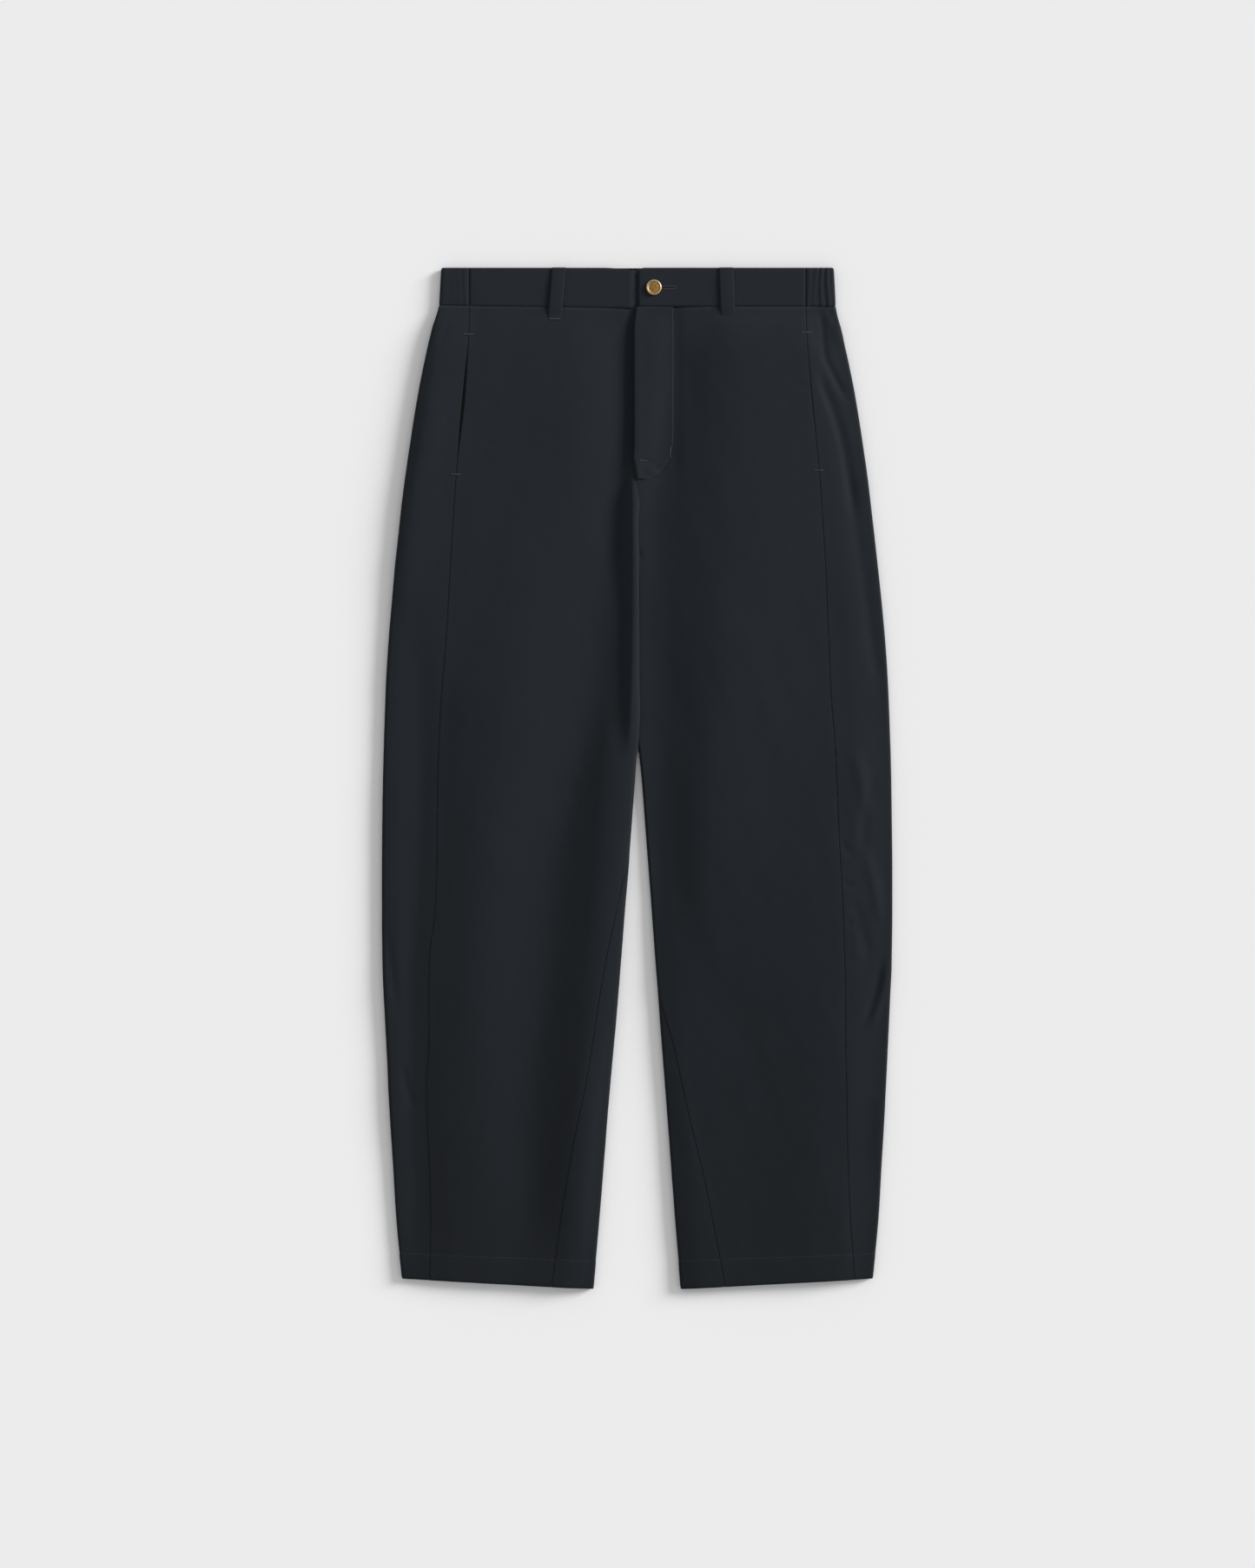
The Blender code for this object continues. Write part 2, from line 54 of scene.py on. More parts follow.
# The four leg panels: two fronts, and two backs that reach round both edges of their leg onto the front.
# They are cut from mid-weight cotton twill, sewn along the outseams and inseams and pressed flat. Each is a
# thin shell on its solid's form, with the folds and the puckers of the seams laid into it.
MM = 0.001
TOP = cad_box[1][1]
WAISTBAND = 39.0
CROTCH = 288.6
FLY_STOP = 193.0
HEM = 1013.0
HEM_DROP = 10.4
HEM_OUTER = 236.0
HEM_WIDTH = 192.0
CLOTH = 1.2
CROWN = 3.4  # the front face stands this much higher between the rolled edges
LEG_ROLL = 3.0
SEAM_GAP = 0.3
HALF_GAP = SEAM_GAP / 6  # the looks draw the seams closed
LEG_TOUCH = 0.5  # the left leg's edge lies against the right one's
BAND_SEAM_OUT = 168.6
HEM_TURN = 25.0  # the hem's depth, from its edge to its stitched line
HEM_EASING, WAIST_EASING = 140.0, 150.0  # the cloth next to a slanted edge shares its slant over this height
WAIST_FALL, WAIST_RAISE = 2.5, 0.8  # the slant of the waist seam on the wearer's right
FLY_DIP = 1.0  # the fronts sink this much under the fly placket
DIP_REACH = {1: 48.0, -1: 16.0}  # how far from the centre line, on each front
POCKET_TOP, POCKET_LENGTH = 65.0, 141.0
POCKET_GAPE = {1: 0.15, -1: 1.35}  # half of how far each mouth stands open

# Millimetres down from the waist: outer and inner edge, outseams (wearer's left, right) across the front
# face, and inseams (left, right) round from the inner edge
SECTIONS = np.array([
    (0, 196.6, 0.15, 168.6, 168.6, 0, 0),
    (38, 198.8, 0.15, 168.6, 168.6, 0, 0),
    (66, 205.0, 0.15, 169.0, 169.0, 0, 0),
    (97, 212.0, 0.15, 171.3, 171.3, 0, 0),
    (132, 218.9, 0.15, 174.4, 174.4, 0, 0),
    (167, 224.5, 0.15, 177.9, 177.9, 0, 0),
    (206, 230.1, 0.15, 181.6, 181.6, 0, 0),
    (254, 235.9, 0.15, 185.0, 185.0, 0, 0),
    (303, 241.4, 0.15, 188.0, 188.0, 0, 0),
    (341, 245.4, 0.15, 189.4, 190.0, 0, 0),
    (384, 249.2, 0.15, 191.2, 193.0, 0, 0),
    (428, 251.8, 0.15, 193.3, 196.5, 0, 0),
    (471, 253.4, 0.15, 196.6, 199.0, 0, 0),
    (489, 254.0, 2.3, 197.8, 199.6, 0, 0),
    (515, 254.5, 4.9, 198.9, 200.4, 0, 0),
    (558, 255.1, 8.2, 200.8, 201.0, 0, 0.5),
    (602, 255.6, 11.5, 203.0, 201.4, 0, 3.2),
    (645, 255.6, 14.8, 205.3, 203.0, 0, 8.4),
    (689, 255.0, 18.1, 206.7, 208.5, 0.6, 14.6),
    (732, 253.4, 21.5, 207.8, 209.5, 3.2, 18.8),
    (776, 251.4, 24.8, 207.9, 209.2, 12.4, 22.2),
    (819, 249.3, 28.1, 208.8, 211.6, 18.6, 26.0),
    (863, 246.9, 31.4, 209.3, 210.6, 25.2, 32.0),
    (906, 244.5, 34.8, 210.6, 208.6, 32.4, 36.6),
    (950, 242.0, 38.3, 212.6, 207.6, 38.4, 40.4),
    (1013, 236.0, 44.0, 217.0, 208.5, 46.0, 44.0),
])
# Down, and how far the centre seam and fly edge stand off the centre line
CENTRE_LINE = np.array([(39, -0.6), (62, -3.0), (180, -3.0), (193, -4.0), (218, -1.3), (235, -0.2),
                        (253, -1.9), (288, 0.0)])

# Long folds: side (+1 is the wearer's left leg), a line of (down, across), how wide the fold is towards the
# centre and outwards, and its height (troughs are negative), all in millimetres
FOLDS = [
    (-1, [(-60, 7), (106, 8), (184, 11), (262, 18), (360, 26)], 5, 15, -1.95),
    (-1, [(150, 24), (262, 30), (419, 40), (497, 61), (575, 80), (732, 98), (889, 114), (1060, 120)],
     20, 34, -5.98),
    (-1, [(175, 5.5), (262, 4.5), (340, 4.5), (420, 5.5), (500, 8)], 6, 4.6, 6.5),
    (-1, [(400, 8), (497, 11), (575, 18), (732, 32), (889, 54), (1050, 66)], 12, 20, 5.72),
    (-1, [(330, 218), (419, 212), (575, 214), (732, 222), (889, 221), (1060, 212)], 26, 12, -3.51),
    (-1, [(-40, 192), (150, 214), (300, 237), (480, 250), (700, 250), (889, 240), (1060, 232)], 12, 9, 1.95),
    (-1, [(-60, 180), (106, 203), (262, 227), (380, 240)], 15, 9, 2.21),
    (-1, [(330, 134), (450, 142), (575, 148), (732, 154), (889, 152), (1060, 148)], 34, 36, 2.86),
    (-1, [(-40, 66), (106, 68), (262, 80), (420, 90), (560, 100)], 24, 34, 0.91),
    (1, [(-40, 48), (106, 38), (200, 27), (262, 17), (419, 20), (575, 27), (740, 42)], 13, 20, -4.29),
    (1, [(-40, 104), (106, 106), (262, 96), (419, 90), (575, 74), (760, 80)], 28, 66, 4.03),
    (1, [(430, 196), (575, 202), (732, 184), (889, 172), (1060, 168)], 50, 26, 2.47),
    (1, [(700, 110), (889, 118), (1060, 116)], 30, 36, -1.3),
    (1, [(34, 181), (59, 184.5), (87, 187), (108, 196), (138, 212)], 2.4, 3.2, -1.56),
    (1, [(96, 183), (115, 185), (140, 194), (168, 203), (214, 212), (253, 217.6)], 3.0, 4.5, -1.95),
    (1, [(196, 208), (253, 217.6), (287, 222.8), (321, 228), (370, 234), (440, 246)], 4.0, 4.5, -1.04),
]
# Short creases: side, across and down at each end, bow halfway, width and height
CREASES = [
    (1, 188, 36, 200, 60, 0, 1.8, -0.9),
    (1, 176, 44, 180, 92, 1, 2.5, -0.5),
    (1, 190, 42, 203, 82, 2, 3.2, 0.8),
    (1, 203, 574, 220, 589, -3, 1.9, -0.8),
    (1, 204, 613, 226, 618, -4, 2.0, -0.8),
    (1, 208, 655, 226, 660, -3, 1.9, -0.7),
    (1, 216, 480, 230, 560, 3, 5.0, 1.6),
    (1, 236, 505, 226, 592, -3, 4.0, -1.2),
    (1, 226, 580, 243, 664, 3, 4.5, 1.5),
    (1, 214, 628, 232, 700, 2, 4.0, -1.0),
    (1, 252, 684, 230, 768, 4, 3.2, 1.6),
    (1, 246, 690, 224, 766, 3, 3.2, -1.0),
    (1, 244, 820, 236, 905, 2, 5.0, 0.9),
    (-1, 251, 655, 240, 750, 1, 3.2, -1.1),
    (-1, 238, 792, 223, 848, 1, 3.0, -1.0),
    (-1, 196, 150, 186, 153, 0, 1.6, -0.3),
    (-1, 158, 174, 140, 178, 0, 1.8, -0.3),
    (-1, 186, 54, 200, 84, 1, 2.4, -0.5),
    (1, 1, 193.5, 18, 194.5, 0, 1.0, -0.8),
    (1, 14, 198, 33, 203, -2, 2.0, -0.5),
    (1, 6, 203, 22, 207, 1, 1.8, 0.4),
    (1, 2, 210, 20, 222, 2, 2.4, 0.5),
    (1, 150, 118, 176, 122, 1, 2.2, -0.35),
    (1, 0.5, 282, 4.5, 293, 0, 1.3, -0.9),
]


def eased(t):
    """Smooth step from 0 to 1."""
    t = np.clip(t, 0.0, 1.0)
    return t * t * (3.0 - 2.0 * t)


def along_rows(table, column, down):
    """A column of a table on a curve through its rows that never overshoots."""
    x, y = table[:, 0], table[:, column]
    step = np.diff(x)
    slope = np.diff(y) / step
    product = slope[:-1] * slope[1:]
    inner = np.where(product > 0, 2 * product / np.where(product > 0, slope[:-1] + slope[1:], 1), 0.0)
    tangent = np.concatenate([slope[:1], inner, slope[-1:]])
    down = np.clip(down, x[0], x[-1])
    i = np.clip(np.searchsorted(x, down, side="right") - 1, 0, len(x) - 2)
    t, h = (down - x[i]) / step[i], step[i]
    return ((1 + 2 * t) * (1 - t) ** 2 * y[i] + t * (1 - t) ** 2 * h * tangent[i]
            + t * t * (3 - 2 * t) * y[i + 1] + t * t * (t - 1) * h * tangent[i + 1])


def tube(side, down, roll=LEG_ROLL):
    """Bends and seams of a leg's cross-sections at an array of heights, measured from the inner edge."""
    down = np.asarray(down, float).reshape(-1, 1)
    turn = math.pi / 2 * eased((down - FLY_STOP) / (CROTCH - FLY_STOP))
    inner = along_rows(SECTIONS, 2, down) - (LEG_TOUCH if side > 0 else 0.0)
    offset = side * along_rows(CENTRE_LINE, 1, down)
    front = inner + offset + roll * np.sin(turn)
    back = inner + roll * np.sin(turn)
    outer = along_rows(SECTIONS, 1, down) - roll
    inner_top = turn * roll
    outer_top = inner_top + outer - front
    outer_low = outer_top + math.pi * roll
    inner_low = outer_low + outer - back
    outseam = inner_top + along_rows(SECTIONS, 3 if side > 0 else 4, down) - front
    return SimpleNamespace(
        side=side, down=down, roll=roll, turn=turn, front=front, back=back, outer=outer,
        inner_top=inner_top, outer_top=outer_top, outer_low=outer_low, inner_low=inner_low,
        total=inner_low + inner_top, outseam=outseam, inseam=along_rows(SECTIONS, 5 if side > 0 else 6, down))


def ring(leg, s):
    """Across, height and outward direction at places along the sections."""
    s = np.where(s > leg.total, s - leg.total, s)
    zones = [s < leg.inner_top, s <= leg.outer_top, s < leg.outer_low, s <= leg.inner_low]
    angle = np.select(zones, [math.pi / 2 + leg.turn - s / leg.roll, math.pi / 2 + 0 * s,
                              math.pi / 2 - (s - leg.outer_top) / leg.roll, -math.pi / 2 + 0 * s],
                      -math.pi / 2 - (s - leg.inner_low) / leg.roll)
    centre = np.select(zones, [leg.front + 0 * s, leg.front + s - leg.inner_top, leg.outer + 0 * s,
                               leg.outer - (s - leg.outer_low)], leg.back + 0 * s)
    lean, up = np.cos(angle), np.sin(angle)
    lean[np.abs(lean) < 1e-9] = 0.0
    return centre + leg.roll * lean, leg.roll * (1 + up), lean, up


def slant(side, across, down):
    """How much further down a point lies because the waist seam and the hem run at a slant."""
    hem = HEM_DROP * (HEM_OUTER - across) / HEM_WIDTH * (
        np.clip(1 - (HEM - down) / HEM_EASING, 0, None) ** 2)
    if side > 0:
        return hem
    fall = (WAIST_FALL * (1 - across / BAND_SEAM_OUT) - WAIST_RAISE) * eased((across - 1) / 8)
    below = np.clip(1 - (down - WAISTBAND) / WAIST_EASING, 0, None) ** 2
    share = np.where(down < WAISTBAND, down / WAISTBAND, below)
    return fall * share + hem


def fold(across, down, line, inward, outward, height):
    """A long soft trough or ridge down a leg, which fades at both ends."""
    line = np.array(line, float)
    run = (down - line[0, 0]) / (line[-1, 0] - line[0, 0])
    fade = eased(run / 0.2) * eased((1 - run) / 0.2)
    off = across - along_rows(line, 1, down)
    return height * fade * np.exp(-(off / np.where(off < 0, inward, outward)) ** 2 / 2)


def crease(across, down, a0, d0, a1, d1, bow, width, height):
    """A short trough or ridge from one point to another in any direction."""
    length = math.hypot(a1 - a0, d1 - d0)
    run = ((across - a0) * (a1 - a0) + (down - d0) * (d1 - d0)) / length ** 2
    off = ((across - a0) * (d1 - d0) - (down - d0) * (a1 - a0)) / length
    bend = bow * 4 * np.clip(run * (1 - run), 0, None)
    return height * eased(run / 0.3) * eased((1 - run) / 0.3) * np.exp(-((off - bend) / width) ** 2 / 2)


def unevenness(across, down, seed):
    """Small waves that keep a laid cloth from looking ironed, from fixed random sines."""
    random = np.random.default_rng(seed)
    total = 0 * across
    for size, height, count in ((95.0, 0.22, 5), (38.0, 0.10, 7), (17.0, 0.035, 9)):
        for _ in range(count):
            heading = random.uniform(0, math.pi)
            phase = random.uniform(0, 2 * math.pi)
            length = size * random.uniform(0.75, 1.35)
            wave = (across * math.cos(heading) + 0.6 * down * math.sin(heading)) * 2 * math.pi / length
            total = total + height * np.sin(wave + phase) / math.sqrt(count)
    return total


def relief(side, across, down):
    """Height of the front face over its flat form: its crown, folds, and the dip under the fly placket."""
    height = unevenness(across, down, 11 if side > 0 else 23)
    edge_in, edge_out = along_rows(SECTIONS, 2, down), along_rows(SECTIONS, 1, down)
    below_fly = eased((down - FLY_STOP) / 160)
    # The left front stands full height at the fly, and the right front falls away under it
    inner_rise = eased((across - edge_in + 30 - 18 * below_fly) / 34) if side > 0 else (
        eased((across - edge_in - 8 * (1 - below_fly)) / (62 - 28 * below_fly)))
    # The right leg's outer edge is a fold that springs up, so that the crown starts inside it
    fold_up = 24 * eased((down - 200) / 300) - 24
    outer_rise = eased((edge_out - across - (2 if side > 0 else fold_up)) / (38 if side > 0 else 56))
    height = height + CROWN * eased((down - WAISTBAND + 14) / 60) * inner_rise * outer_rise
    for line in FOLDS:
        if line[0] == side:
            height = height + fold(across, down, *line[1:])
    for line in CREASES:
        if line[0] == side:
            height = height + crease(across, down, *line[1:])
    calm_top = eased((down - WAISTBAND + 4) / 26)
    dip = FLY_DIP * eased((DIP_REACH[side] - across) / 12) * eased((228 - down) / 40)
    return height * (0.35 + 0.65 * calm_top) - dip


def place(leg, s, out=0.0, folded=True):
    """Points in metres at places along the sections, moved out from the cloth's outer face."""
    across, height, lean, up = ring(leg, s)
    facing = eased(up / 0.8)
    lift = facing * relief(leg.side, across, leg.down) if folded else 0.0
    # An underside that rests flat stays flat
    out = lift + np.where(up < -0.5, np.minimum(out, 0.0), out)
    across = across + lean * out
    down = leg.down + slant(leg.side, across, leg.down)
    x = leg.side * across * MM
    return np.stack([x, TOP - down * MM, (height + up * out) * MM], axis=-1)


def spread(leg, start, end, count):
    """Places along each section, close together at the seams and on the bends."""
    t = np.linspace(0, 1, 700)
    s = start + (end - start) * t
    _, _, lean, up = ring(leg, s)
    weight = np.where(np.abs(lean) > 0, 4.0, np.where(up < 0, 0.3, 1.0))
    nearest = np.minimum(s - start, end - s)
    weight = weight * (1 + 2.5 * np.exp(-(nearest / 5.0) ** 2) * (up > -0.5))
    total = np.concatenate([0 * start, np.cumsum((weight[:, 1:] + weight[:, :-1]) / 2, axis=1)], axis=1)
    return np.stack([np.interp(np.linspace(0, row[-1], count), row, places) for row, places in zip(total, s)])


def shell(name, outer, inner):
    """A closed shell from the grids of points of its outer and inner faces."""
    high, wide = outer.shape[:2]
    index = np.arange(high * wide).reshape(high, wide)
    quads = np.stack([index[:-1, :-1], index[:-1, 1:], index[1:, 1:], index[1:, :-1]], axis=-1).reshape(-1, 4)
    rim = np.concatenate([index[0], index[1:, -1], index[-1, -2::-1], index[-2:0:-1, 0]])
    after = np.roll(rim, -1)
    size = high * wide
    sides = np.stack([after, rim, rim + size, after + size], axis=-1)
    points = np.concatenate([outer.reshape(-1, 3), inner.reshape(-1, 3)])
    faces = np.concatenate([quads, quads[:, ::-1] + size, sides])
    a, b, d = (outer[high // 2, wide // 2], outer[high // 2, wide // 2 + 1], outer[high // 2 + 1, wide // 2])
    facing = np.cross(b - a, d - a)
    away = outer[high // 2, wide // 2] - inner[high // 2, wide // 2]
    if np.dot(facing, away) < 0:
        faces = faces[:, ::-1]
    mesh = bpy.data.meshes.new(name)
    mesh.from_pydata(points.tolist(), [], faces.tolist())
    mesh.shade_smooth()
    piece = bpy.data.objects.new(name, mesh)
    bpy.context.scene.collection.objects.link(piece)
    return piece


def grain_map(piece, s, down):
    """A UV map in metres that runs across and along the cloth's grain, for weaves and slubs."""
    flat = np.stack([np.broadcast_to(s, s.shape), np.broadcast_to(down, s.shape)], axis=-1) * MM
    both = np.concatenate([flat.reshape(-1, 2), flat.reshape(-1, 2)])
    layer = piece.data.uv_layers.new(name="grain")
    corners = np.zeros(len(piece.data.loops), np.int32)
    piece.data.loops.foreach_get("vertex_index", corners)
    layer.data.foreach_set("uv", both[corners].ravel().astype(np.float32))


def srgb(code):
    """A hex sRGB colour as linear RGBA."""
    parts = [int(code[k:k + 2], 16) / 255 for k in (1, 3, 5)]
    return [p / 12.92 if p <= 0.04045 else ((p + 0.055) / 1.055) ** 2.4 for p in parts] + [1.0]


def node(tree, kind, settings=None, **inputs):
    """Adds a node with its settings, and sets or links its inputs by name or place."""
    made = tree.nodes.new(kind)
    for key, value in (settings or {}).items():
        setattr(made, key, value)
    for key, value in inputs.items():
        socket = made.inputs[int(key[1:]) if key[0] == "i" and key[1:].isdigit() else key.replace("_", " ")]
        if isinstance(value, bpy.types.NodeSocket):
            tree.links.new(value, socket)
        else:
            socket.default_value = value
    return made


def blank_material(name):
    """A material with only its Principled shader and output."""
    made = bpy.data.materials.new(name)
    made.use_nodes = True
    return made, made.node_tree, made.node_tree.nodes["Principled BSDF"]


def cotton_twill(name, dye):
    """Piece-dyed cotton twill, brushed and washed: matte and faintly slubbed, in one dye with painted light
    that makes it paler towards the waist and the wearer's left.
    """
    made, tree, shader = blank_material(name)
    grain = node(tree, "ShaderNodeUVMap", {"uv_map": "grain"}).outputs["UV"]
    # Slubs: thick places in the warp, 1 mm wide and 15 mm long
    slub_map = node(tree, "ShaderNodeMapping", Vector=grain, Scale=(900.0, 70.0, 1.0)).outputs[0]
    slub = node(tree, "ShaderNodeTexNoise", Vector=slub_map, Scale=1.0, Detail=3.0, Roughness=0.6).outputs[0]
    weft_map = node(tree, "ShaderNodeMapping", Vector=grain, Scale=(80.0, 800.0, 1.0)).outputs[0]
    weft = node(tree, "ShaderNodeTexNoise", Vector=weft_map, Scale=1.0, Detail=2.0, Roughness=0.5).outputs[0]
    # Twill lines: the real ones are 0.5 mm apart, drawn 3.6 mm apart so that they show
    twill_map = node(tree, "ShaderNodeMapping", Vector=grain, Scale=(900.0, 620.0, 1.0)).outputs[0]
    twill = node(tree, "ShaderNodeTexWave", {"wave_type": "BANDS", "bands_direction": "DIAGONAL"},
                 Vector=twill_map, Scale=0.16, Distortion=1.2, Detail=1.0).outputs["Fac"]
    # The brushing varies over a hand's width, which changes only the roughness
    wash = node(tree, "ShaderNodeTexNoise", Vector=grain, Scale=14.0, Detail=4.0, Roughness=0.55).outputs[0]
    both = node(tree, "ShaderNodeMath", {"operation": "ADD"}, i0=slub, i1=weft).outputs[0]
    # Painted light: the dye is scaled paler towards the waist and the wearer's left, a falloff of light
    # painted into the colour
    where = node(tree, "ShaderNodeTexCoord").outputs["Object"]
    painted_light_falloff = node(tree, "ShaderNodeVectorMath", {"operation": "DOT_PRODUCT"}, i0=where, i1=(0.14, 0.45, 0.0))
    painted_light_falloff = node(tree, "ShaderNodeMath", {"operation": "ADD"}, i0=painted_light_falloff.outputs["Value"], i1=1.0).outputs[0]
    dyed = node(tree, "ShaderNodeVectorMath", {"operation": "SCALE"}, i0=srgb(dye)[:3],
                Scale=painted_light_falloff).outputs[0]
    tree.links.new(dyed, shader.inputs["Base Color"])
    height = node(tree, "ShaderNodeMath", {"operation": "MULTIPLY_ADD"}, i0=twill, i1=0.45,
                  i2=both).outputs[0]
    bump = node(tree, "ShaderNodeBump", Strength=0.25, Distance=0.0002, Height=height).outputs[0]
    tree.links.new(bump, shader.inputs["Normal"])
    rough = node(tree, "ShaderNodeMapRange", Value=wash, To_Min=0.82, To_Max=0.95).outputs[0]
    tree.links.new(rough, shader.inputs["Roughness"])
    shader.inputs["Sheen Weight"].default_value = 0.04
    shader.inputs["Sheen Roughness"].default_value = 0.6
    shader.inputs["Specular IOR Level"].default_value = 0.12
    return made


twill_cloth = cotton_twill("cotton_twill_navy", "#171b20")
LEG_ROWS = 300
# Width, length and area of each panel laid flat, in metres, from its inseam or centre seam to its outseam
PANEL_CUTS = {
    "left_front": (0.221, 0.984, 0.175), "right_front": (0.213, 0.984, 0.170),
    "left_back": (0.318, 0.984, 0.283), "right_back": (0.317, 0.984, 0.286),
}


def pocket_gape(side, down):
    """Half of how far the pocket mouth in the outseam stands open."""
    run = (down - POCKET_TOP) / POCKET_LENGTH
    return np.where((run > 0) & (run < 1), POCKET_GAPE[side] * np.sin(math.pi * run) ** 2, 0.0)


def seam_profile(distance, on_right):
    """Sewn seams read as a small step: the panel on the viewer's right stands over the other."""
    if on_right:
        return 0.16 * np.exp(-(distance / 5.0) ** 2) - 0.34 * np.exp(-(distance / 0.6) ** 2)
    return -0.16 * np.exp(-(distance / 4.0) ** 2) - 0.10 * np.exp(-(distance / 0.6) ** 2)


def puckers(side, down, distance):
    """Short creases that seam stitches draw across the edge of the cloth, irregular in pitch."""
    phase = down / 1.9 + 2.2 * np.sin(down / 17.0 + side) + 1.4 * np.sin(down / 7.3)
    strength = 0.5 + 0.5 * np.sin(down / 43.0 + 2 * side)
    return strength * np.sin(phase) * np.exp(-(distance / 6.0) ** 2) * (1 - np.exp(-(distance / 1.2) ** 2))


def dress(piece, *nodes, cloth=None):
    """What every cloth piece has in common: its finish, its body and the solids that it stands for."""
    piece.data.materials.append(cloth or twill_cloth)
    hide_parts(*nodes)
    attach(piece, "root")


leg_heights = np.linspace(WAISTBAND + HALF_GAP, HEM, LEG_ROWS)
for side, name in ((1, "left"), (-1, "right")):
    leg = tube(side, leg_heights)
    below_crotch = leg.down >= CROTCH
    gape = pocket_gape(side, leg.down)
    spans = {
        "front": (np.where(below_crotch, leg.inseam + HALF_GAP, 0.0), leg.outseam - gape - HALF_GAP, 96),
        "back": (leg.outseam + gape + HALF_GAP,
                 leg.total + np.where(below_crotch, leg.inseam - HALF_GAP, 0.0), 104),
    }
    for part, (start, end, columns) in spans.items():
        s = spread(leg, start, end, columns)
        at_outseam = (end - s) if part == "front" else (s - start)
        at_inseam = (s - start) if part == "front" else (end - s)
        at_ends = np.minimum(leg.down - leg.down[0], leg.down[-1] - leg.down)
        dip = seam_profile(at_outseam, (side > 0) == (part == "back"))
        dip = dip + seam_profile(at_inseam, (side > 0) == (part == "front"))
        dip = dip - 0.4 * np.exp(-(at_ends / 1.2) ** 2)
        pull = 0.24 if part == "back" else 0.10
        dip = dip + pull * puckers(side, leg.down, at_outseam)
        # The waistband's seam draws the cloth in unevenly
        waist_pull = np.sin(s / 2.6 + 2 * np.sin(s / 11)) * (0.4 + 0.6 * np.sin(s / 31 + side) ** 2)
        dip = dip + 0.12 * waist_pull * np.exp(-((leg.down - WAISTBAND - 3) / 4) ** 2)
        # The hem's turned edge is thicker, down from a stitched line
        hem_line = leg.down[-1] - leg.down - HEM_TURN
        dip = dip + 0.35 * eased(-hem_line / 3) - 0.30 * np.exp(-(hem_line / 1.3) ** 2)
        outer = place(leg, s, dip * eased(ring(leg, s)[3] / 0.5))
        inner = place(leg, s, -CLOTH)
        panel = shell(f"{name}_{part}_panel", outer, inner)
        grain_map(panel, s, leg.down + 0 * s)
        dress(panel, f"{name}_{part}")
        under = [f"{name}_back_panel"] if part == "front" else ["floor"]
        width, length, area = PANEL_CUTS[f"{name}_{part}"]

# The facings behind the pocket mouths: strips of the same twill sewn behind the outseams, coloured darker as
# painted shade, which show as a dark slit where a mouth stands open
painted_shade_twill = cotton_twill("cotton_twill_shaded", "#111316")
FACING_OVERRUN = 5.0  # past each end of the mouth
FACING_REACH = 9.0  # either side of the outseam
FACING_CLOTH = 1.0
for side, name in ((1, "left"), (-1, "right")):
    facing_end = POCKET_TOP + POCKET_LENGTH + FACING_OVERRUN
    leg = tube(side, np.linspace(POCKET_TOP - FACING_OVERRUN, facing_end, 50))
    s = leg.outseam + np.linspace(-FACING_REACH, FACING_REACH, 13)
    depth = CLOTH + SEAM_GAP
    facing = shell(f"pocket_facing_{name}_piece", place(leg, s, -depth + 0 * s),
                   place(leg, s, -depth - FACING_CLOTH + 0 * s))
    grain_map(facing, s, leg.down + 0 * s)
    dress(facing, f"pocket_facing_{name}", cloth=painted_shade_twill)

# The fly placket: it laps over the opening, topstitched to the left front along its outer edge, and its
# lower end curves into the centre seam
FLY_WIDTH, FLY_CURVE, FLY_END, FLY_TIP = 36.1, 167.0, 212.0, 5.0
FLY_PROUD = 0.12  # how far the placket stands out of the front along its stitching
FLY_LAP_PROUD = 0.8  # and along the edge that laps over the right front


def fly_edge(down):
    """The placket's outer edge across, at an array of heights."""
    fall = np.clip((down - FLY_CURVE) / (FLY_END - FLY_CURVE), 0, 1)
    return FLY_TIP + (FLY_WIDTH - FLY_TIP) * np.sqrt(1 - fall ** 2)


fly_heights = np.concatenate([np.linspace(WAISTBAND + HALF_GAP, FLY_CURVE, 70)[:-1],
                              FLY_CURVE + (FLY_END - FLY_CURVE) * np.sin(np.linspace(0, math.pi / 2, 34))])
leg = tube(1, fly_heights)
first = 2.0 * eased((leg.down - FLY_STOP + 6) / 14)
last = leg.inner_top + fly_edge(leg.down) - leg.front
across_placket = np.concatenate([np.linspace(0, 0.06, 5), np.linspace(0.09, 0.91, 24),
                                 np.linspace(0.94, 1, 6)])
s = first + (last - first) * across_placket
from_edge = np.minimum(np.minimum(s - first, last - s), FLY_END - leg.down)
rounding = -0.4 * np.exp(-(from_edge / 0.6) ** 2)
proud = FLY_PROUD + (FLY_LAP_PROUD - FLY_PROUD) * np.exp(-((s - first) / 7) ** 2)
lift = FLY_DIP + proud + rounding
placket = shell("fly_placket_piece", place(leg, s, lift), place(leg, s, 0.12 + 0 * s))
grain_map(placket, s, leg.down + 0 * s)
dress(placket, "fly_placket")

# The waistband: a front band of two ends, the left lapping over the right, and a back band gathered over
# elastic, whose pleats show where it comes round the sides. Each is two layers of twill and interlining
BAND_CLOTH = 1.9
BAND_ROLL = 3.4
BAND_TOP = 2 * BAND_ROLL
BAND_END, BAND_CORNER = 1.0, 6.0
UNDERLAP_END, UNDERLAP_DIP = 36.0, 2.6
LAP_GAP = 0.55  # between the upper end and the underlap beneath it
GATHER_PITCH = 6.5
GATHER_HEIGHT = {1: 0.34, -1: 0.11}
band_rows = np.concatenate([[0, 0.25, 0.7, 1.4], np.linspace(2.4, WAISTBAND - 2.4, 22),
                            WAISTBAND - np.array([1.4, 0.7, 0.25]) - HALF_GAP, [WAISTBAND - HALF_GAP]])


